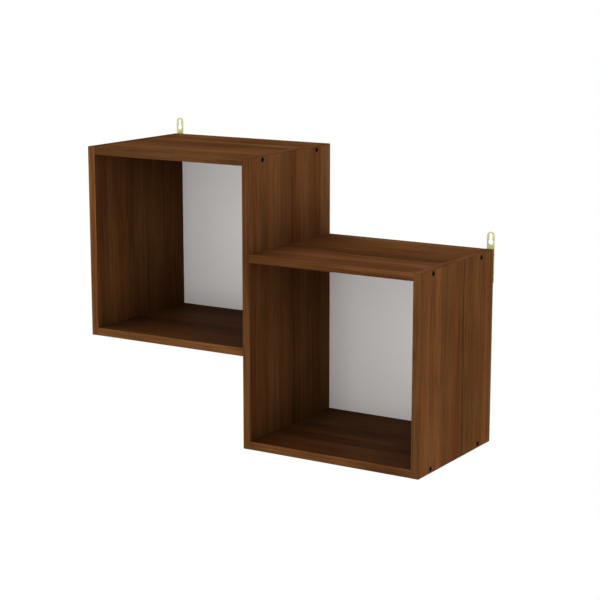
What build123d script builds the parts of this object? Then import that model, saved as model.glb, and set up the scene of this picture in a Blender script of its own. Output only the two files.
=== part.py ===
"""Wall-hung storage unit of two open cubes that share one tall middle panel.

The upper cube is on the left and the lower cube on the right, half a pitch further down. Foiled
chipboard panels are held by confirmat screws and hidden dowels, hardboard backs are nailed over
their rear edges, and two keyhole plates hang the unit on a wall.

Millimetres. +X runs to the right, +Y into the wall and +Z up. The shapes are built from the left
outer face, the front and the lowest face, and are moved on export so that the origin is the centre
of the left keyhole's entry circle, on the wall plane.
"""
import os

from build123d import *

# Chipboard panels and their edge bands
BOARD = 16.0
CUBE_SIDE = 380.0
CARCASS_DEPTH = 295.0
BAND = 1.0
BAND_ROUND = 0.6

# Hardboard backs
BACK_THICKNESS = 3.0
BACK_GAP = 1.0

# Confirmat screws, a row near the front and a row near the rear
SCREW_LENGTH = 50.0
SCREW_HEAD_RADIUS = 5.0
SCREW_HEAD_RIM = 1.2
SCREW_HEAD_HEIGHT = 3.6
SCREW_RADIUS = 3.5
SCREW_CORE_RADIUS = 2.5
SCREW_SHANK_END = 12.0
SCREW_THREAD_START = 13.0
SCREW_PITCH = 3.0
SCREW_TURNS = 11
SCREW_TIP = 3.0
SCREW_RECESS = 0.3
SOCKET_ACROSS_FLATS = 4.0
SOCKET_DEPTH = 3.0
FRONT_ROW = 47.0
REAR_ROW = 243.0

# Dowels, used where a screw head would show inside a cube
DOWEL_RADIUS = 4.0
DOWEL_LENGTH = 30.0
DOWEL_IN_UPRIGHT = 10.0
DOWEL_CHAMFER = 1.0

# Keyhole hanger plates, one at the top of each outer side
PLATE_WIDTH = 16.0
PLATE_THICKNESS = 2.0
PLATE_RISE = 33.0
PLATE_DROP = 67.0
PLATE_CORNER = 3.0
PLATE_EDGE_ROUND = 0.4
KEYHOLE_HEIGHT = 13.3
KEYHOLE_RADIUS = 5.5
SLOT_RADIUS = 3.5
SLOT_TOP_WALL = 2.5

# Countersunk screws through the plates
PLATE_SCREW_DROPS = (16.0, 52.0)
PLATE_SCREW_LENGTH = 25.0
PLATE_SCREW_HEAD_RADIUS = 3.5
PLATE_SCREW_HEAD_RIM = 0.2
PLATE_SCREW_HEAD_HEIGHT = 1.9
PLATE_SCREW_RADIUS = 1.75
PLATE_SCREW_CORE_RADIUS = 1.15
PLATE_SCREW_SHANK_END = 7.0
PLATE_SCREW_THREAD_START = 8.0
PLATE_SCREW_PITCH = 1.8
PLATE_SCREW_TURNS = 8
PLATE_SCREW_TIP = 3.0
CROSS_SPAN = 3.6
CROSS_WIDTH = 0.9
CROSS_DEPTH = 1.2

# Flat-head nails through the backs
NAIL_LENGTH = 20.0
NAIL_RADIUS = 0.7
NAIL_HEAD_RADIUS = 1.6
NAIL_HEAD_HEIGHT = 0.6
NAIL_POINT = 2.0
NAILS_PER_EDGE = 4
NAIL_CORNER = 32.0
NAIL_BELOW_PLATE = 20.0

# Places that follow from the sizes above
PITCH = CUBE_SIDE - BOARD
RISE = PITCH / 2
UNIT_WIDTH = PITCH + CUBE_SIDE
UNIT_HEIGHT = RISE + CUBE_SIDE
BACK_REAR = CARCASS_DEPTH + BACK_THICKNESS
WALL = BACK_REAR + PLATE_THICKNESS
ORIGIN = Vector(BOARD / 2, WALL, UNIT_HEIGHT + KEYHOLE_HEIGHT)

# Each upright: its left face, its bottom and its top
UPRIGHTS = {
    "left_side": (0.0, RISE, UNIT_HEIGHT),
    "centre": (PITCH, 0.0, UNIT_HEIGHT),
    "right_side": (2 * PITCH, 0.0, CUBE_SIDE),
}

# Each shelf board: its left end and its underside
SHELVES = {
    "upper_top": (BOARD, UNIT_HEIGHT - BOARD),
    "upper_bottom": (BOARD, RISE),
    "lower_top": (PITCH + BOARD, CUBE_SIDE - BOARD),
    "lower_bottom": (PITCH + BOARD, 0.0),
}

# Each screwed joint: the face that the heads lie in, the way the screws point, and the shelf board
SCREWED_JOINTS = (
    (0.0, 1, "upper_top"),
    (0.0, 1, "upper_bottom"),
    (PITCH + BOARD, -1, "upper_top"),
    (PITCH, 1, "lower_bottom"),
    (UNIT_WIDTH, -1, "lower_top"),
    (UNIT_WIDTH, -1, "lower_bottom"),
)

# Each dowelled joint: the face of the centre panel that the board meets, the way out of it, the board
DOWELLED_JOINTS = (
    (PITCH, -1, "upper_bottom"),
    (PITCH + BOARD, 1, "lower_top"),
)


def block(low, high):
    """A box between two corners."""
    size = Vector(*high) - Vector(*low)
    return Pos(*low) * Box(size.X, size.Y, size.Z, align=Align.MIN)


def banded_edge(low, high, along, outer):
    """A strip of edge band with its two long outer corners rounded."""
    strip = block(low, high)
    outer_corners = strip.edges().filter_by(along).group_by(outer)[0]
    return fillet(outer_corners, BAND_ROUND)


def turned(profile):
    """A solid of revolution about X, from (distance, radius) points that start and end on the axis."""
    return revolve(make_face(Polyline(*profile, close=True)), Axis.X)


def thread_profile(start, pitch, turns, core_radius, radius):
    """The outline of sharp rings that stand for a thread, each half a pitch wide at its foot."""
    points = []
    for turn in range(turns):
        foot = start + turn * pitch
        points.append((foot, core_radius))
        points.append((foot + pitch / 4, radius))
        points.append((foot + pitch / 2, core_radius))
    return points


def confirmat_profile(head_start):
    """The outline of a confirmat screw that points along +X, its head beginning at head_start."""
    head = [(head_start, 0), (head_start, SCREW_HEAD_RADIUS), (SCREW_HEAD_RIM, SCREW_HEAD_RADIUS)]
    shank = [(SCREW_HEAD_HEIGHT, SCREW_RADIUS), (SCREW_SHANK_END, SCREW_RADIUS)]
    shank_foot = [(SCREW_SHANK_END, SCREW_CORE_RADIUS)]
    thread = thread_profile(
        SCREW_THREAD_START, SCREW_PITCH, SCREW_TURNS, SCREW_CORE_RADIUS, SCREW_RADIUS
    )
    tip = [(SCREW_LENGTH - SCREW_TIP, SCREW_CORE_RADIUS), (SCREW_LENGTH, 0)]
    return head + shank + shank_foot + thread + tip


def confirmat_screw():
    """A confirmat screw with a hexagon socket."""
    socket = Plane.YZ * RegularPolygon(SOCKET_ACROSS_FLATS / 2, 6, major_radius=False)
    return turned(confirmat_profile(0)) - extrude(socket, SOCKET_DEPTH)


def confirmat_hole():
    """The room that a confirmat screw takes, with its recess below the panel's face."""
    return turned(confirmat_profile(-SCREW_RECESS))


def plate_screw_blank():
    """A countersunk wood screw that points along +X, before its cross recess is cut."""
    core = PLATE_SCREW_CORE_RADIUS
    head = [(0, 0), (0, PLATE_SCREW_HEAD_RADIUS), (PLATE_SCREW_HEAD_RIM, PLATE_SCREW_HEAD_RADIUS)]
    shank = [(PLATE_SCREW_HEAD_HEIGHT, PLATE_SCREW_RADIUS), (PLATE_SCREW_SHANK_END, PLATE_SCREW_RADIUS)]
    shank_foot = [(PLATE_SCREW_SHANK_END, core)]
    thread = thread_profile(
        PLATE_SCREW_THREAD_START, PLATE_SCREW_PITCH, PLATE_SCREW_TURNS, core, PLATE_SCREW_RADIUS
    )
    tip = [(PLATE_SCREW_LENGTH - PLATE_SCREW_TIP, core), (PLATE_SCREW_LENGTH, 0)]
    return turned(head + shank + shank_foot + thread + tip)


def plate_screw():
    """A countersunk wood screw with a cross recess."""
    slot = Box(2 * CROSS_DEPTH, CROSS_WIDTH, CROSS_SPAN)
    return plate_screw_blank() - slot - Rot(90, 0, 0) * slot


def nail():
    """A flat-head nail that points along +X."""
    return turned(
        [
            (0, 0),
            (0, NAIL_HEAD_RADIUS),
            (NAIL_HEAD_HEIGHT, NAIL_HEAD_RADIUS),
            (NAIL_HEAD_HEIGHT, NAIL_RADIUS),
            (NAIL_LENGTH - NAIL_POINT, NAIL_RADIUS),
            (NAIL_LENGTH, 0),
        ]
    )


def dowel():
    """A wooden dowel with chamfered ends that points along +X from its start."""
    end_radius = DOWEL_RADIUS - DOWEL_CHAMFER
    return turned(
        [
            (0, 0),
            (0, end_radius),
            (DOWEL_CHAMFER, DOWEL_RADIUS),
            (DOWEL_LENGTH - DOWEL_CHAMFER, DOWEL_RADIUS),
            (DOWEL_LENGTH, end_radius),
            (DOWEL_LENGTH, 0),
        ]
    )


def upright(name):
    """A side or centre panel: its chipboard core, its front band and the bands on both ends."""
    left, bottom, top = UPRIGHTS[name]
    right = left + BOARD
    core = block((left, BAND, bottom + BAND), (right, CARCASS_DEPTH, top - BAND))
    front = banded_edge((left, 0, bottom), (right, BAND, top), Axis.Z, Axis.Y)
    foot = banded_edge((left, BAND, bottom), (right, CARCASS_DEPTH, bottom + BAND), Axis.Y, Axis.Z)
    head = foot.mirror(Plane.XY.offset((bottom + top) / 2))
    return {
        f"{name}_panel": core,
        f"{name}_front_band": front,
        f"{name}_bottom_band": foot,
        f"{name}_top_band": head,
    }


def shelf(name):
    """A top or bottom board between two uprights, with its front band."""
    left, bottom = SHELVES[name]
    right = left + CUBE_SIDE - 2 * BOARD
    core = block((left, BAND, bottom), (right, CARCASS_DEPTH, bottom + BOARD))
    front = banded_edge((left, 0, bottom), (right, BAND, bottom + BOARD), Axis.X, Axis.Y)
    return {f"{name}_panel": core, f"{name}_front_band": front}


def back_panel(left, right, bottom):
    """A hardboard back over the rear edges of one cube."""
    low = (left, CARCASS_DEPTH, bottom + BACK_GAP)
    high = (right, BACK_REAR, bottom + CUBE_SIDE - BACK_GAP)
    return block(low, high)


def keyhole_outline(top_edge):
    """The keyhole as a flat shape in the wall plane: an entry circle with a slot above it."""
    slot_height = PLATE_RISE - SLOT_TOP_WALL - SLOT_RADIUS
    slot_length = slot_height - KEYHOLE_HEIGHT
    entry = Pos(0, KEYHOLE_HEIGHT) * Circle(KEYHOLE_RADIUS)
    slot = Pos(0, KEYHOLE_HEIGHT) * Rectangle(2 * SLOT_RADIUS, slot_length, align=(Align.CENTER, Align.MIN))
    slot_top = Pos(0, slot_height) * Circle(SLOT_RADIUS)
    return top_edge * (entry + slot + slot_top)


def hanger_plate(centre_x, panel_top):
    """A steel plate with a round top and a keyhole, its rear face on the wall plane.

    It is drawn from the middle of the top edge of the panel that carries it.
    """
    top_edge = Plane(origin=(centre_x, WALL, panel_top), x_dir=(1, 0, 0), z_dir=(0, -1, 0))
    head_radius = PLATE_WIDTH / 2
    height = PLATE_DROP + PLATE_RISE - head_radius
    strip = Pos(0, -PLATE_DROP) * Rectangle(PLATE_WIDTH, height, align=(Align.CENTER, Align.MIN))
    strip = fillet(strip.vertices().group_by(Axis.Y)[0], PLATE_CORNER)
    outline = strip + Pos(0, PLATE_RISE - head_radius) * Circle(head_radius)
    plate = extrude(top_edge * outline, PLATE_THICKNESS)
    face_edges = plate.edges().group_by(Axis.Y)
    plate = fillet(face_edges[0] + face_edges[-1], PLATE_EDGE_ROUND)
    return plate - extrude(keyhole_outline(top_edge), PLATE_THICKNESS)


def joint_places(joints, setback=0.0):
    """Where the fasteners of the listed joints start and point, a front and a rear one to each joint."""
    places = []
    for face_x, way, board_name in joints:
        height = SHELVES[board_name][1] + BOARD / 2
        turn = 0 if way > 0 else 180
        for row in (FRONT_ROW, REAR_ROW):
            places.append(Pos(face_x + way * setback, row, height) * Rot(0, 0, turn))
    return places


def into_rear(x, y, z):
    """The place of a fastener that points from the rear to the front."""
    return Pos(x, y, z) * Rot(0, 0, -90)


def plate_screw_places(centre_x, panel_top):
    """Where the screws of one hanger plate start."""
    return [into_rear(centre_x, WALL, panel_top - drop) for drop in PLATE_SCREW_DROPS]


def spaced(first, last, count):
    """Evenly spaced values from first to last."""
    return [first + (last - first) * step / (count - 1) for step in range(count)]


def nail_places(left_line, right_line, bottom):
    """Where the nails of one back start, along all four edges and clear of the hanger plates."""
    top = bottom + CUBE_SIDE
    places = []
    for x in (left_line, right_line):
        for z in spaced(bottom + NAIL_CORNER, top - PLATE_DROP - NAIL_BELOW_PLATE, NAILS_PER_EDGE):
            places.append(into_rear(x, BACK_REAR, z))
    for z in (bottom + BOARD / 2, top - BOARD / 2):
        for x in spaced(left_line + NAIL_CORNER, right_line - NAIL_CORNER, NAILS_PER_EDGE):
            places.append(into_rear(x, BACK_REAR, z))
    return places


def meet(first, second):
    """Whether the boxes round two shapes touch."""
    a, b = first.bounding_box(), second.bounding_box()
    low_first = a.min.X <= b.max.X and a.min.Y <= b.max.Y and a.min.Z <= b.max.Z
    high_first = b.min.X <= a.max.X and b.min.Y <= a.max.Y and b.min.Z <= a.max.Z
    return low_first and high_first


def drilled(shape, cutters):
    """The shape with every cutter that reaches it taken out."""
    reaching = [cutter for cutter in cutters if meet(shape, cutter)]
    return shape - reaching if reaching else shape


def build_nodes():
    """Every sub-part by name, as a list of solids in the building frame."""
    screw_places = joint_places(SCREWED_JOINTS, SCREW_RECESS)
    dowel_places = joint_places(DOWELLED_JOINTS, -DOWEL_IN_UPRIGHT)
    upper_plate = (BOARD / 2, UNIT_HEIGHT)
    lower_plate = (UNIT_WIDTH - BOARD / 2, CUBE_SIDE)
    plate_places = plate_screw_places(*upper_plate) + plate_screw_places(*lower_plate)
    nails_above = nail_places(BOARD / 2, PITCH + BOARD / 4, RISE)
    nails_below = nail_places(PITCH + BOARD * 3 / 4, UNIT_WIDTH - BOARD / 2, 0.0)

    dowels = [place * dowel() for place in dowel_places]
    upper_nails = [place * nail() for place in nails_above]
    lower_nails = [place * nail() for place in nails_below]
    screw_holes = [place * confirmat_hole() for place in screw_places]
    plate_screw_holes = [place * plate_screw_blank() for place in plate_places]
    cutters = screw_holes + plate_screw_holes + dowels + upper_nails + lower_nails

    centre_line = PITCH + BOARD / 2
    drilled_parts = {}
    for name in UPRIGHTS:
        drilled_parts.update(upright(name))
    for name in SHELVES:
        drilled_parts.update(shelf(name))
    drilled_parts["upper_back_panel"] = back_panel(BACK_GAP, centre_line - BACK_GAP / 2, RISE)
    drilled_parts["lower_back_panel"] = back_panel(centre_line + BACK_GAP / 2, UNIT_WIDTH - BACK_GAP, 0.0)
    drilled_parts["left_hanger_plate"] = hanger_plate(*upper_plate)
    drilled_parts["right_hanger_plate"] = hanger_plate(*lower_plate)

    nodes = {name: [drilled(shape, cutters)] for name, shape in drilled_parts.items()}
    nodes["confirmat_screws"] = [place * confirmat_screw() for place in screw_places]
    nodes["dowels"] = dowels
    nodes["hanger_screws"] = [place * plate_screw() for place in plate_places]
    nodes["upper_back_nails"] = upper_nails
    nodes["lower_back_nails"] = lower_nails
    return nodes


def export_nodes(nodes):
    """Write one STEP file per node, moved to the unit's own origin."""
    os.makedirs("parts", exist_ok=True)
    for name, shapes in nodes.items():
        solids = [solid.moved(Location(-ORIGIN)) for shape in shapes for solid in shape.solids()]
        whole = solids[0] if len(solids) == 1 else Compound(children=solids)
        whole.label = name
        export_step(whole, os.path.join("parts", f"{name}.step"))
        print(name, len(solids), "solids")


export_nodes(build_nodes())
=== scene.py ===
"""Looks, light and camera for the wall-hung storage unit of two open cubes.

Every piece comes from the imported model. This script gives each one a procedural material and sets the
unit in a plain white studio. Lengths are metres unless a name says otherwise, and noise scales are per
metre.
"""
import math

import bpy
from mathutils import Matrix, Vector


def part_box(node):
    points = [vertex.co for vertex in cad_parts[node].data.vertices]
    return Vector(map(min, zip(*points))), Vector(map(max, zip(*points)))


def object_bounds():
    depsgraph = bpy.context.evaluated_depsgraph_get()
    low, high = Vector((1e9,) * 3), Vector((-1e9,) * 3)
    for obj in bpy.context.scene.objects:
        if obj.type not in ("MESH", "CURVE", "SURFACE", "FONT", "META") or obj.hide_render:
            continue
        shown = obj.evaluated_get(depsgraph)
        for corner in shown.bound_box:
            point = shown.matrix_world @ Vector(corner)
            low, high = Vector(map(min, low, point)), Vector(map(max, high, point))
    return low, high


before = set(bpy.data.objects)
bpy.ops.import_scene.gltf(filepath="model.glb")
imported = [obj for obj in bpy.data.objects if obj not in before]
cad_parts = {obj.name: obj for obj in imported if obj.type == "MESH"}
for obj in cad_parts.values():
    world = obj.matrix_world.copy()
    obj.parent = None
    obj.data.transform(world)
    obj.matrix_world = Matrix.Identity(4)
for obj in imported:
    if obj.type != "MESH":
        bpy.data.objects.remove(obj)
cad_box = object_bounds()

MM = 0.001
WHITE = (1.0, 1.0, 1.0)
BLACK = (0.0, 0.0, 0.0)
FRONT_Y = cad_box[0].y

# A mapping that only shifts, and the range that most of a noise's values lie in
UNSCALED = (1.0, 1.0, 1.0)
MIDDLE_RANGE = (0.3, 0.7)

# Camera: the side it looks from, how far it stands from the unit's middle, and where that middle falls
CAMERA_AZIMUTH = math.radians(31.83)
CAMERA_ELEVATION = math.radians(11.42)
CAMERA_DISTANCE = 3.331
MIDDLE_TO_RIGHT = -0.0242
MIDDLE_UP = 0.0136
SENSOR_WIDTH_MM = 36.0
LENS_MM = 101.86
CLIP_END = 200.0

# Studio: an even white surround, a floor as white, and soft lights (offset from the middle, side, watts)
FLOOR_DROP = 2.0
FLOOR_REACH = 40.0
SOFT_LIGHTS = {
    "front_light": ((0.0, -3.0, 0.0), 1.2, 15.0),
    "front_left_light": ((-1.55, -2.50, -0.59), 1.6, 8.0),
    "rear_light": ((-1.3, 2.5, -0.8), 1.6, 6.0),
}

# Boards, by the way their grain runs
UPRIGHT_NAMES = ("left_side", "centre", "right_side")
SHELF_NAMES = ("upper_top", "upper_bottom", "lower_top", "lower_bottom")

# Walnut print: its dark, middle and light browns, and the redder and yellower tints it drifts between
WALNUT_DARK = (0.0560, 0.0200, 0.0058)
WALNUT_MID = (0.1130, 0.0428, 0.0134)
WALNUT_LIGHT = (0.1750, 0.0720, 0.0240)
WALNUT_RED = (1.04, 0.96, 0.90)
WALNUT_YELLOW = (0.97, 1.03, 1.04)
PRINT_COLOURS = ((0.0, WALNUT_DARK), (0.5, WALNUT_MID), (1.0, WALNUT_LIGHT))
WORN_FOIL = (0.24, 0.13, 0.065)
SEAM_BROWN = (0.020, 0.009, 0.004)

# The print's streaks stretch along the grain and sway a little
GRAIN_STRETCH = 0.022
SWAY_ALONG = 2.4
SWAY_ACROSS = 7.0
SWAY_WIDTH = 0.015

# Layers of the print: noise scale across the grain, octaves, roughness, strength in the tone
BROAD_LAYER = (24.0, 1.0, 0.5, 0.62)
STREAK_LAYER = (120.0, 2.0, 0.55, 0.82)
FINE_LAYER = (430.0, 2.0, 0.6, 1.0)
CLOUD_SCALE = (6.0, 6.0, 6.0)
CLOUD_STRENGTH = 0.70

# Each board's broad bands fade out over this many half widths
FIGURE_FADE = 1.6

# Thin dark veins run where a noise of this scale crosses a level
VEIN_SCALE = 70.0
VEIN_LEVEL = 0.60
VEIN_WIDTH = 0.018
VEIN_DARKNESS = 0.42

# The tint drifts between red and yellow over this range of a noise
HUE_SCALE = 40.0
HUE_RANGE = (0.35, 0.65)

# Pores: short pressed strokes along the grain
PORE_ALONG = 60.0
PORE_ACROSS = 1700.0
PORE_RANGE = (0.62, 0.72)
PORE_DARKNESS = 0.30

# Where each board's print, its veins and its tint are read from the noise
SEED_STEP = (3.71, 1.93, 5.17)
VEIN_SHIFT = (1.7, 5.9, 3.1)
HUE_SHIFT = (7.3, 2.1, 4.4)

# The foil's satin, and the depth of its grain and pores
FOIL_SPECULAR = 0.004
FOIL_ROUGHNESS = (0.46, 0.56)
PORE_ROUGHNESS = 0.14
EDGE_ROUGHNESS = 0.10
GRAIN_RELIEF = 0.015 * MM
PORE_RELIEF = 0.05 * MM

# How much the foil is changed along its seams and worn edges, how much painted shade darkens its inner
# corners, and how far from them
SEAM_REACH = 1.1 * MM
SEAM_DARKNESS = 0.60
WEAR_REACH = 0.7 * MM
WEAR_STRENGTH = 0.22
WEAR_SCALE = 95.0
WEAR_RANGE = (0.45, 0.62)
PAINTED_SHADE_REACH = 0.16
PAINTED_SHADE_STRENGTH = 0.6
PAINTED_SHADE_SAMPLES = 4

# Sawn chipboard on a board's rear edge: flakes that lie flat in the board, and dust between them
SAWN_DEPTH = 0.1 * MM
FLAKE_SCALE = 620.0
FLAKE_LAY = (1.0, 1.0, 0.45)
FLAKE_COLOURS = ((0.15, (0.20, 0.125, 0.066)), (0.5, (0.36, 0.25, 0.15)), (0.85, (0.50, 0.38, 0.25)))
DUST_SCALE = 1800.0
DUST_RANGE = (0.4, 0.7)
DUST_STRENGTH = 0.4
DUST_BROWN = (0.16, 0.10, 0.055)

# Hardboard back: white lacquer in front, and behind it fibre with the print of a pressing screen
LACQUER_DEPTH = 0.15 * MM
LACQUER_COLOURS = ((0.3, (0.915, 0.900, 0.888)), (0.7, (0.932, 0.918, 0.906)))
LACQUER_ROUGHNESS = 0.42
LACQUER_PEEL_SCALE = 260.0
FIBRE_SCALE = 900.0
FIBRE_COLOURS = ((0.3, (0.120, 0.066, 0.032)), (0.7, (0.225, 0.135, 0.072)))
FIBRE_EXTRA_ROUGHNESS = 0.40
STAIN_SCALE = 9.0
STAIN_COLOURS = ((0.3, (0.135, 0.077, 0.039)), (0.7, (0.200, 0.121, 0.066)))
STAIN_STRENGTH = 0.45
SCREEN_SCALE = 210.0
SCREEN_BROWN = (0.07, 0.038, 0.019)
SCREEN_DARKNESS = 0.25
SCREEN_PRESS = 0.8
BACK_SPECULAR = 0.15
BACK_RELIEF = 0.05 * MM

# Zinc-plated hanger plates: soft clouds, rolling marks along the plate and dull scuffs
ZINC_CLOUD_SCALE = 160.0
ZINC_COLOURS = ((0.25, (0.80, 0.76, 0.31)), (0.55, (0.92, 0.90, 0.44)), (0.8, (0.95, 0.91, 0.54)))
ROLLING_SCALE = (4000.0, 4000.0, 90.0)
ROLLING_RANGE = (0.2, 0.8)
ROLLING_RELIEF = 0.01 * MM
ZINC_ROUGHNESS = (0.28, 0.42)
SCUFF_SCALE = 620.0
SCUFF_RANGE = (0.58, 0.72)
SCUFF_STRENGTH = 0.35
SCUFF_COLOUR = (0.58, 0.53, 0.34)
SCUFF_ROUGH_RANGE = (0.5, 0.7)
SCUFF_ROUGHNESS = 0.1
ZINC_METAL = 0.30

# Black-oxide screws
OXIDE_WEAR_SCALE = 1400.0
OXIDE_COLOURS = ((0.45, (0.004, 0.004, 0.004)), (0.85, (0.030, 0.028, 0.026)))
OXIDE_WEAR_RANGE = (0.3, 0.8)
OXIDE_ROUGHNESS = (0.35, 0.55)
OXIDE_SPECULAR = 0.2

# Bright screws and nails, clouded down to a share of their own colour
STEEL_CLOUD_SCALE = 900.0
STEEL_DARKER = 0.7
STEEL_ROUGHNESS = (0.28, 0.42)
STEEL_METAL = 0.35
ZINC_SCREW_COLOUR = (0.75, 0.68, 0.45)
NAIL_COLOUR = (0.62, 0.62, 0.63)

# Beech dowels, which lie along X
BEECH_GRAIN = (40.0, 900.0, 900.0)
BEECH_COLOURS = ((0.3, (0.42, 0.26, 0.13)), (0.7, (0.60, 0.41, 0.23)))
BEECH_ROUGHNESS = 0.7

# Broad bands of each board's figure: how far behind the front they run, their half width, how light
FIGURE = {
    "left_side": ((0.050, 0.016, 0.18), (0.110, 0.022, -0.12), (0.150, 0.010, 0.08)),
    "centre": ((0.085, 0.036, 0.12), (0.148, 0.016, -0.18), (0.230, 0.024, -0.14), (0.282, 0.018, 0.20)),
    "right_side": ((0.066, 0.013, 0.24), (0.173, 0.003, -0.34), (0.268, 0.010, 0.20), (0.291, 0.006, 0.22)),
    "upper_top": ((0.070, 0.030, 0.16), (0.150, 0.018, -0.16), (0.186, 0.010, 0.16), (0.235, 0.022, -0.16)),
    "upper_bottom": ((0.060, 0.018, 0.12), (0.125, 0.026, -0.18), (0.200, 0.020, 0.06)),
    "lower_top": ((0.040, 0.008, -0.10), (0.066, 0.012, 0.18), (0.122, 0.018, -0.16), (0.275, 0.024, 0.16)),
    "lower_bottom": ((0.040, 0.010, -0.12), (0.102, 0.022, -0.16), (0.250, 0.050, 0.16)),
}

# How light each board's print is, and each front band's: partly the print's own tone and partly painted
# light and shade, each set so the face comes out as bright as it looks lit, so the tops are lighter and the
# inner floors darker
BOARD_TONE_AND_PAINTED_LIGHT = {
    "left_side": 0.93,
    "centre": 1.12,
    "right_side": 1.06,
    "upper_top": 1.30,
    "upper_bottom": 0.84,
    "lower_top": 1.18,
    "lower_bottom": 0.82,
}
BAND_TONE_AND_PAINTED_LIGHT = {
    "left_side": 1.11,
    "centre": 0.73,
    "right_side": 0.70,
    "upper_top": 0.67,
    "upper_bottom": 1.06,
    "lower_top": 1.06,
    "lower_bottom": 0.96,
}
END_BAND_TONE = 1.1
BAND_CONTRAST = 1.35

# Seeds of the prints: boards count up from these, and each band's seed is so far from its board's
FIRST_UPRIGHT_SEED = 1
FIRST_SHELF_SEED = 5
FRONT_BAND_SEED = 20
END_BAND_SEEDS = {"top": 40, "bottom": 50}


class Surface:
    """A material's node tree, with short calls for the nodes that the surfaces share."""

    def __init__(self, name):
        self.material = bpy.data.materials.new(name)
        self.material.use_nodes = True
        self.tree = self.material.node_tree
        self.shader = self.tree.nodes["Principled BSDF"]
        self.place = self.node("ShaderNodeTexCoord").outputs["Object"]

    def node(self, kind, **settings):
        """A new node with its settings."""
        made = self.tree.nodes.new(kind)
        for key, value in settings.items():
            setattr(made, key, value)
        return made

    def feed(self, socket, value):
        """Link an output to a socket, or set the socket to a number, vector or colour."""
        if isinstance(value, bpy.types.NodeSocket):
            self.tree.links.new(value, socket)
        elif socket.type == "RGBA":
            socket.default_value = (*value, 1.0)
        else:
            socket.default_value = value

    def maths(self, operation, first, second=0.0):
        """The result of a Math node."""
        made = self.node("ShaderNodeMath", operation=operation)
        self.feed(made.inputs[0], first)
        self.feed(made.inputs[1], second)
        return made.outputs[0]

    def off_from(self, value, middle):
        """How far a value is from a middle one."""
        return self.maths("ABSOLUTE", self.maths("SUBTRACT", value, middle))

    def swing(self, noise, strength):
        """How far a noise is to either side of its middle, times a strength."""
        return self.maths("MULTIPLY", self.maths("SUBTRACT", noise, 0.5), strength)

    def scaled(self, value, strength):
        """A mask or other value times a strength."""
        return self.maths("MULTIPLY", value, strength)

    def times(self, first, second):
        """Two colours multiplied."""
        return self.blended(1.0, first, second, "MULTIPLY")

    def part(self, vector, letter):
        """One component of a vector."""
        made = self.node("ShaderNodeSeparateXYZ")
        self.feed(made.inputs[0], vector)
        return made.outputs[letter]

    def stretched(self, vector, scale, shift=(0.0, 0.0, 0.0)):
        """A position scaled by an amount per axis, then shifted."""
        made = self.node("ShaderNodeMapping")
        self.feed(made.inputs["Vector"], vector)
        self.feed(made.inputs["Scale"], scale)
        self.feed(made.inputs["Location"], shift)
        return made.outputs[0]

    def noise(self, vector, scale=1.0, detail=2.0, roughness=0.5):
        """Noise from about 0 to 1 round a half."""
        made = self.node("ShaderNodeTexNoise")
        self.feed(made.inputs["Vector"], vector)
        self.feed(made.inputs["Scale"], scale)
        self.feed(made.inputs["Detail"], detail)
        self.feed(made.inputs["Roughness"], roughness)
        return made.outputs[0]

    def between(self, value, low, high, out_low=0.0, out_high=1.0):
        """A value spread smoothly from out_low at low to out_high at high, and held beyond them."""
        made = self.node("ShaderNodeMapRange", interpolation_type="SMOOTHSTEP")
        for socket, given in zip(made.inputs, (value, low, high, out_low, out_high)):
            self.feed(socket, given)
        return made.outputs[0]

    def ramp(self, value, stops):
        """A colour read from a row of (place, colour) stops."""
        made = self.node("ShaderNodeValToRGB")
        self.feed(made.inputs[0], value)
        elements = made.color_ramp.elements
        while len(elements) < len(stops):
            elements.new(0.5)
        for element, (place, colour) in zip(elements, stops):
            element.position = place
            element.color = (*colour, 1.0)
        return made.outputs[0]

    def blended(self, factor, first, second, how="MIX"):
        """Two colours mixed."""
        made = self.node("ShaderNodeMix", data_type="RGBA", blend_type=how)
        self.feed(made.inputs[0], factor)
        self.feed(made.inputs[6], first)
        self.feed(made.inputs[7], second)
        return made.outputs[2]

    def bumped(self, height, distance, below=None):
        """A normal raised by a height of 0 to 1 over a distance, on top of another normal."""
        made = self.node("ShaderNodeBump")
        self.feed(made.inputs["Height"], height)
        made.inputs["Distance"].default_value = distance
        if below is not None:
            self.feed(made.inputs["Normal"], below)
        return made.outputs[0]

    def finish(self, **inputs):
        """Set the shader's inputs, named in lower case, and return the material."""
        for key, value in inputs.items():
            name = key.replace("_", " ").title().replace("Ior", "IOR")
            self.feed(self.shader.inputs[name], value)
        return self.material


def along_and_across(grain_axis, along, across):
    """A scale per axis, with one amount along the grain and one across it."""
    return tuple(along if axis == grain_axis else across for axis in "XYZ")


def swayed_place(surface, grain_axis, shift):
    """The place on the board, pushed gently across the grain so that the streaks wander."""
    stretch = along_and_across(grain_axis, SWAY_ALONG, SWAY_ACROSS)
    sway = surface.noise(surface.stretched(surface.place, stretch, shift), detail=1.0)
    sway_length = surface.swing(sway, SWAY_WIDTH)
    push = surface.node("ShaderNodeCombineXYZ")
    for index, axis in enumerate("XYZ"):
        if axis != grain_axis:
            surface.feed(push.inputs[index], sway_length)
    swayed = surface.node("ShaderNodeVectorMath", operation="ADD")
    surface.feed(swayed.inputs[0], surface.place)
    surface.feed(swayed.inputs[1], push.outputs[0])
    return swayed.outputs[0]


def print_tone(surface, layers, depth, bands, contrast):
    """The print's tone, 0 dark to 1 light: its layers of noise and the board's own broad bands."""
    tone = 0.5
    for layer, strength in layers:
        tone = surface.maths("ADD", surface.swing(layer, strength * contrast), tone)
    for middle, half_width, lift in bands:
        off = surface.off_from(depth, middle)
        tone = surface.maths("ADD", tone, surface.between(off, 0.0, FIGURE_FADE * half_width, lift, 0.0))
    return tone


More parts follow.
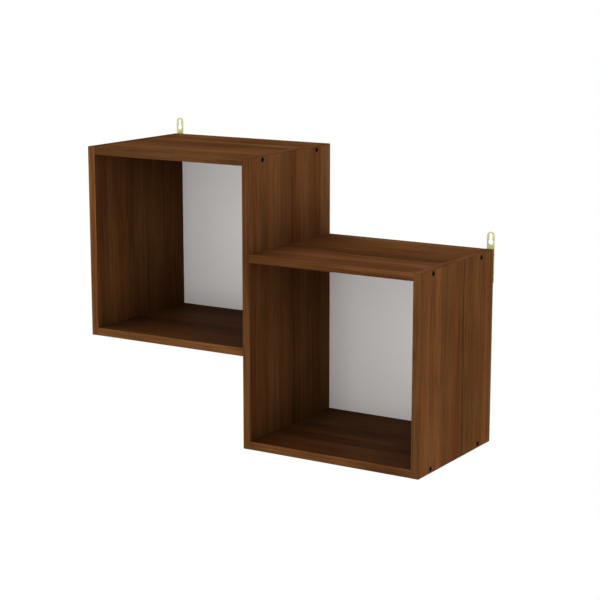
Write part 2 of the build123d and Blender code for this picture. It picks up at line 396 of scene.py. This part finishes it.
def veined(surface, colour, grain, contrast):
    """The colour with thin dark veins along the grain."""
    veins = surface.noise(surface.stretched(grain, UNSCALED, VEIN_SHIFT), VEIN_SCALE, detail=0.0)
    off = surface.off_from(veins, VEIN_LEVEL)
    mask = surface.between(off, 0.0, VEIN_WIDTH, VEIN_DARKNESS * contrast, 0.0)
    return surface.blended(mask, colour, WALNUT_DARK)


def tinted(surface, colour, grain):
    """The colour drifting between a redder and a yellower brown."""
    hue = surface.noise(surface.stretched(grain, UNSCALED, HUE_SHIFT), HUE_SCALE, detail=1.0)
    tint = surface.blended(surface.between(hue, *HUE_RANGE), WALNUT_RED, WALNUT_YELLOW)
    return surface.times(colour, tint)


def walnut_print(surface, grain_axis, seed, contrast, bands):
    """The colour, pore mask and streaks of a walnut-grain print that runs along one axis."""
    shift = tuple(seed * step for step in SEED_STEP)
    swayed = swayed_place(surface, grain_axis, shift)
    grain = surface.stretched(swayed, along_and_across(grain_axis, GRAIN_STRETCH, 1.0), shift)
    clouds = surface.noise(surface.stretched(surface.place, CLOUD_SCALE, shift), detail=1.0)
    layers = [(clouds, CLOUD_STRENGTH)]
    for scale, octaves, roughness, strength in (BROAD_LAYER, STREAK_LAYER, FINE_LAYER):
        layers.append((surface.noise(grain, scale, octaves, roughness), strength))
    streaks = layers[2][0]
    depth = surface.maths("SUBTRACT", surface.part(swayed, "Y"), FRONT_Y)
    colour = surface.ramp(print_tone(surface, layers, depth, bands, contrast), PRINT_COLOURS)
    colour = tinted(surface, veined(surface, colour, grain, contrast), grain)

    pore_scale = along_and_across(grain_axis, PORE_ALONG, PORE_ACROSS)
    pore_noise = surface.noise(surface.stretched(surface.place, pore_scale, shift), detail=0.0)
    pores = surface.between(pore_noise, *PORE_RANGE)
    colour = surface.blended(surface.scaled(pores, PORE_DARKNESS), colour, WALNUT_DARK)
    return colour, pores, streaks


def by_edges(surface, box, reach):
    """A mask that rises from 0 to 1 over the last reach before any edge of a box."""
    closeness = []
    for axis, low, high in zip("XYZ", *box):
        half = (high - low) / 2
        off = surface.off_from(surface.part(surface.place, axis), (low + high) / 2)
        closeness.append(surface.between(off, half - reach, half))
    nearest = surface.maths("MULTIPLY", closeness[0], closeness[1])
    for first, second in ((0, 2), (1, 2)):
        pair = surface.maths("MULTIPLY", closeness[first], closeness[second])
        nearest = surface.maths("MAXIMUM", nearest, pair)
    return nearest


def painted_corner_shade(surface, colour):
    """The colour with painted shade: darker towards inner corners, by an ambient occlusion node."""
    # Painted shade: the occlusion darkens the colour itself near inner corners
    corners = surface.node("ShaderNodeAmbientOcclusion", samples=PAINTED_SHADE_SAMPLES)
    surface.feed(corners.inputs["Distance"], PAINTED_SHADE_REACH)
    painted_shade = surface.times(colour, corners.outputs["Color"])
    return surface.blended(PAINTED_SHADE_STRENGTH, colour, painted_shade)


def chipboard(surface):
    """The colour of a sawn chipboard edge: pale and darker flakes with fine dust between."""
    flakes = surface.node("ShaderNodeTexVoronoi")
    surface.feed(flakes.inputs["Vector"], surface.stretched(surface.place, FLAKE_LAY))
    surface.feed(flakes.inputs["Scale"], FLAKE_SCALE)
    colour = surface.ramp(flakes.outputs["Color"], FLAKE_COLOURS)
    dust = surface.noise(surface.place, DUST_SCALE, detail=3.0, roughness=0.6)
    dusty = surface.between(dust, *DUST_RANGE, 0.0, DUST_STRENGTH)
    return surface.blended(dusty, colour, DUST_BROWN)


def walnut_foil(name, grain_axis, seed, tone, contrast=1.0, bands=()):
    """A surface with a walnut print: the surface, and its colour with painted shade in the inner corners,
    pores and streaks.
    """
    surface = Surface(name)
    colour, pores, streaks = walnut_print(surface, grain_axis, seed, contrast, bands)
    # For boards and front bands, the tone holds painted light and shade as well as the print's own
    # lightness
    colour = surface.times(colour, (tone, tone, tone))
    # The colour returned carries painted shade in the inner corners
    return surface, painted_corner_shade(surface, colour), pores, streaks


def foil_finish(surface, colour, pores, streaks, edge):
    """Satin foil with pressed pores and a faint grain relief, rougher in its pores and along its edges."""
    roughness = surface.between(streaks, *MIDDLE_RANGE, *FOIL_ROUGHNESS)
    roughness = surface.maths("ADD", roughness, surface.scaled(pores, PORE_ROUGHNESS))
    roughness = surface.maths("ADD", roughness, surface.scaled(edge, EDGE_ROUGHNESS))
    grained = surface.bumped(streaks, GRAIN_RELIEF)
    normal = surface.bumped(surface.maths("SUBTRACT", 1.0, pores), PORE_RELIEF, grained)
    return surface.finish(
        base_color=colour, roughness=roughness, specular_ior_level=FOIL_SPECULAR, normal=normal
    )


def board_material(name, grain_axis, seed, box, **looks):
    """Foiled board: dark seams where it meets its neighbours, and a bare chipboard rear edge."""
    surface, colour, pores, streaks = walnut_foil(name, grain_axis, seed, **looks)
    seam = by_edges(surface, box, SEAM_REACH)
    colour = surface.blended(surface.scaled(seam, SEAM_DARKNESS), colour, SEAM_BROWN)
    sawn = surface.maths("GREATER_THAN", surface.part(surface.place, "Y"), box[1].y - SAWN_DEPTH)
    colour = surface.blended(sawn, colour, chipboard(surface))
    return foil_finish(surface, colour, pores, streaks, seam)


def band_material(name, grain_axis, seed, box, tone):
    """Foiled edge band, slightly rubbed along its corners."""
    surface, colour, pores, streaks = walnut_foil(name, grain_axis, seed, tone, BAND_CONTRAST)
    rubbing = surface.noise(surface.place, WEAR_SCALE, detail=4.0, roughness=0.6)
    rubbed = surface.between(rubbing, *WEAR_RANGE)
    worn = surface.maths("MULTIPLY", by_edges(surface, box, WEAR_REACH), rubbed)
    colour = surface.blended(surface.scaled(worn, WEAR_STRENGTH), colour, WORN_FOIL)
    return foil_finish(surface, colour, pores, streaks, worn)


def screen_print(surface):
    """The print of the wire screen that hardboard is pressed on, 0 to 1."""
    wires = []
    for direction in "XZ":
        wave = surface.node("ShaderNodeTexWave", bands_direction=direction)
        surface.feed(wave.inputs["Vector"], surface.place)
        surface.feed(wave.inputs["Scale"], SCREEN_SCALE)
        wires.append(wave.outputs["Fac"])
    return surface.maths("MULTIPLY", *wires)


def bare_hardboard(surface, fibre, stains, screen):
    """The colour of a hardboard's rough rear face."""
    brown = surface.ramp(fibre, FIBRE_COLOURS)
    brown = surface.blended(STAIN_STRENGTH, brown, surface.ramp(stains, STAIN_COLOURS))
    return surface.blended(surface.scaled(screen, SCREEN_DARKNESS), brown, SCREEN_BROWN)


def back_board(name, front_y):
    """Hardboard with white lacquer on its front face and bare brown fibre behind."""
    surface = Surface(name)
    fibre = surface.noise(surface.place, FIBRE_SCALE, detail=4.0, roughness=0.6)
    stains = surface.noise(surface.place, STAIN_SCALE, detail=4.0, roughness=0.6)
    screen = screen_print(surface)
    lacquer = surface.ramp(stains, LACQUER_COLOURS)
    behind = surface.maths("GREATER_THAN", surface.part(surface.place, "Y"), front_y + LACQUER_DEPTH)
    colour = surface.blended(behind, lacquer, bare_hardboard(surface, fibre, stains, screen))
    peel = surface.noise(surface.place, LACQUER_PEEL_SCALE, detail=1.0)
    roughness = surface.maths("ADD", surface.scaled(behind, FIBRE_EXTRA_ROUGHNESS), LACQUER_ROUGHNESS)
    pressed = surface.maths("SUBTRACT", fibre, surface.scaled(screen, SCREEN_PRESS))
    normal = surface.bumped(surface.blended(behind, peel, pressed), BACK_RELIEF)
    return surface.finish(
        base_color=colour, roughness=roughness, specular_ior_level=BACK_SPECULAR, normal=normal
    )


def zinc_plate(name):
    """Pale yellow zinc plate with fine rolling marks, soft clouding and a few dull scuffs."""
    surface = Surface(name)
    clouds = surface.noise(surface.place, ZINC_CLOUD_SCALE, detail=3.0)
    rolled = surface.noise(surface.stretched(surface.place, ROLLING_SCALE))
    scuffs = surface.noise(surface.place, SCUFF_SCALE, detail=4.0, roughness=0.7)
    scuffed = surface.between(scuffs, *SCUFF_RANGE, 0.0, SCUFF_STRENGTH)
    colour = surface.blended(scuffed, surface.ramp(clouds, ZINC_COLOURS), SCUFF_COLOUR)
    dull = surface.between(scuffs, *SCUFF_ROUGH_RANGE, 0.0, SCUFF_ROUGHNESS)
    shine = surface.between(rolled, *ROLLING_RANGE, *ZINC_ROUGHNESS)
    roughness = surface.maths("ADD", shine, dull)
    normal = surface.bumped(rolled, ROLLING_RELIEF)
    return surface.finish(base_color=colour, metallic=ZINC_METAL, roughness=roughness, normal=normal)


def black_oxide(name):
    """Black-oxide steel, a little worn."""
    surface = Surface(name)
    wear = surface.noise(surface.place, OXIDE_WEAR_SCALE, detail=3.0, roughness=0.65)
    colour = surface.ramp(wear, OXIDE_COLOURS)
    roughness = surface.between(wear, *OXIDE_WEAR_RANGE, *OXIDE_ROUGHNESS)
    return surface.finish(base_color=colour, roughness=roughness, specular_ior_level=OXIDE_SPECULAR)


def bright_steel(name, bright):
    """Plain turned steel."""
    surface = Surface(name)
    clouds = surface.noise(surface.place, STEEL_CLOUD_SCALE)
    darker = tuple(STEEL_DARKER * part for part in bright)
    low, high = MIDDLE_RANGE
    colour = surface.ramp(clouds, ((low, darker), (high, bright)))
    roughness = surface.between(clouds, low, high, *STEEL_ROUGHNESS)
    return surface.finish(base_color=colour, metallic=STEEL_METAL, roughness=roughness)


def bare_beech(name):
    """Pale beech, with its grain along the dowel."""
    surface = Surface(name)
    grain = surface.noise(surface.stretched(surface.place, BEECH_GRAIN), detail=3.0)
    return surface.finish(base_color=surface.ramp(grain, BEECH_COLOURS), roughness=BEECH_ROUGHNESS)


def dress(node_name, material):
    """Give a CAD node its material."""
    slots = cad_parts[node_name].data.materials
    slots.clear()
    slots.append(material)


def dress_board(name, grain_axis, seed):
    """Give a board and its front band walnut foil of their own."""
    panel, band = f"{name}_panel", f"{name}_front_band"
    # The board's and band's tones hold painted light and shade besides their own lightness
    looks = {"tone": BOARD_TONE_AND_PAINTED_LIGHT[name], "bands": FIGURE[name]}
    dress(panel, board_material(f"{panel}_foil", grain_axis, seed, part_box(panel), **looks))
    band_seed = seed + FRONT_BAND_SEED
    dress(band, band_material(f"{band}_foil", grain_axis, band_seed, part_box(band), BAND_TONE_AND_PAINTED_LIGHT[name]))


def dress_boards():
    """Give every board and edge band its foil."""
    for seed, name in enumerate(UPRIGHT_NAMES, start=FIRST_UPRIGHT_SEED):
        dress_board(name, "Z", seed)
        for end, end_seed in END_BAND_SEEDS.items():
            band = f"{name}_{end}_band"
            foil = band_material(f"{band}_foil", "Y", seed + end_seed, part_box(band), END_BAND_TONE)
            dress(band, foil)
    for seed, name in enumerate(SHELF_NAMES, start=FIRST_SHELF_SEED):
        dress_board(name, "X", seed)


def dress_fittings():
    """Give the backs, plates and fasteners their materials."""
    for name in ("upper_back_panel", "lower_back_panel"):
        dress(name, back_board(f"{name}_hardboard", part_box(name)[0].y))
    plate = zinc_plate("yellow_zinc")
    for name in ("left_hanger_plate", "right_hanger_plate"):
        dress(name, plate)
    dress("confirmat_screws", black_oxide("black_oxide"))
    dress("hanger_screws", bright_steel("zinc_screw", ZINC_SCREW_COLOUR))
    nails = bright_steel("nail_steel", NAIL_COLOUR)
    for name in ("upper_back_nails", "lower_back_nails"):
        dress(name, nails)
    dress("dowels", bare_beech("bare_beech"))


def soft_light(name, offset, side, power):
    """A square soft light, aimed at the middle of the unit."""
    data = bpy.data.lights.new(name, "AREA")
    data.size = side
    data.energy = power
    light = bpy.data.objects.new(name, data)
    light.location = (cad_box[0] + cad_box[1]) / 2 + Vector(offset)
    light.rotation_mode = "QUATERNION"
    light.rotation_quaternion = (-Vector(offset)).to_track_quat("-Z", "Y")
    bpy.context.scene.collection.objects.link(light)


def set_surround():
    """An even white world, left out of reflections so that the browns stay deep."""
    world = bpy.data.worlds.new("studio")
    bpy.context.scene.world = world
    world.use_nodes = True
    background = world.node_tree.nodes["Background"]
    background.inputs["Color"].default_value = (*WHITE, 1.0)
    background.inputs["Strength"].default_value = 1.0
    world.cycles_visibility.glossy = False


def set_floor():
    """A pale floor well below the unit, as white as the surround."""
    floor_z = cad_box[0].z - FLOOR_DROP
    corners = [(x * FLOOR_REACH, y * FLOOR_REACH, floor_z) for x, y in ((-1, -1), (1, -1), (1, 1), (-1, 1))]
    mesh = bpy.data.meshes.new("floor")
    mesh.from_pydata(corners, [], [(0, 1, 2, 3)])
    floor = bpy.data.objects.new("floor", mesh)
    bpy.context.scene.collection.objects.link(floor)
    surface = Surface("pale_floor")
    surface.finish(base_color=BLACK, roughness=1.0, specular_ior_level=0.0)
    mesh.materials.append(surface.finish(emission_color=WHITE, emission_strength=1.0))
    floor.visible_glossy = False


def set_camera():
    """The camera, placed from the unit's middle without its hanger plates."""
    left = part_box("left_side_front_band")
    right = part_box("right_side_panel")
    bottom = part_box("lower_bottom_panel")[0].z
    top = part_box("left_side_top_band")[1].z
    middle = Vector(((left[0].x + right[1].x) / 2, (left[0].y + right[1].y) / 2, (bottom + top) / 2))
    back = Vector(
        (
            math.sin(CAMERA_AZIMUTH) * math.cos(CAMERA_ELEVATION),
            -math.cos(CAMERA_AZIMUTH) * math.cos(CAMERA_ELEVATION),
            math.sin(CAMERA_ELEVATION),
        )
    )
    to_right = Vector((math.cos(CAMERA_AZIMUTH), math.sin(CAMERA_AZIMUTH), 0.0))
    up = back.cross(to_right)
    data = bpy.data.cameras.new("camera")
    data.sensor_width = SENSOR_WIDTH_MM
    data.lens = LENS_MM
    data.clip_end = CLIP_END
    camera = bpy.data.objects.new("camera", data)
    camera.location = middle + back * CAMERA_DISTANCE - to_right * MIDDLE_TO_RIGHT - up * MIDDLE_UP
    camera.rotation_mode = "QUATERNION"
    camera.rotation_quaternion = (-back).to_track_quat("-Z", "Y")
    bpy.context.scene.collection.objects.link(camera)
    bpy.context.scene.camera = camera


dress_boards()
dress_fittings()
bpy.context.scene.view_settings.view_transform = "Standard"
set_surround()
set_floor()
for light_name, settings in SOFT_LIGHTS.items():
    soft_light(light_name, *settings)
set_camera()
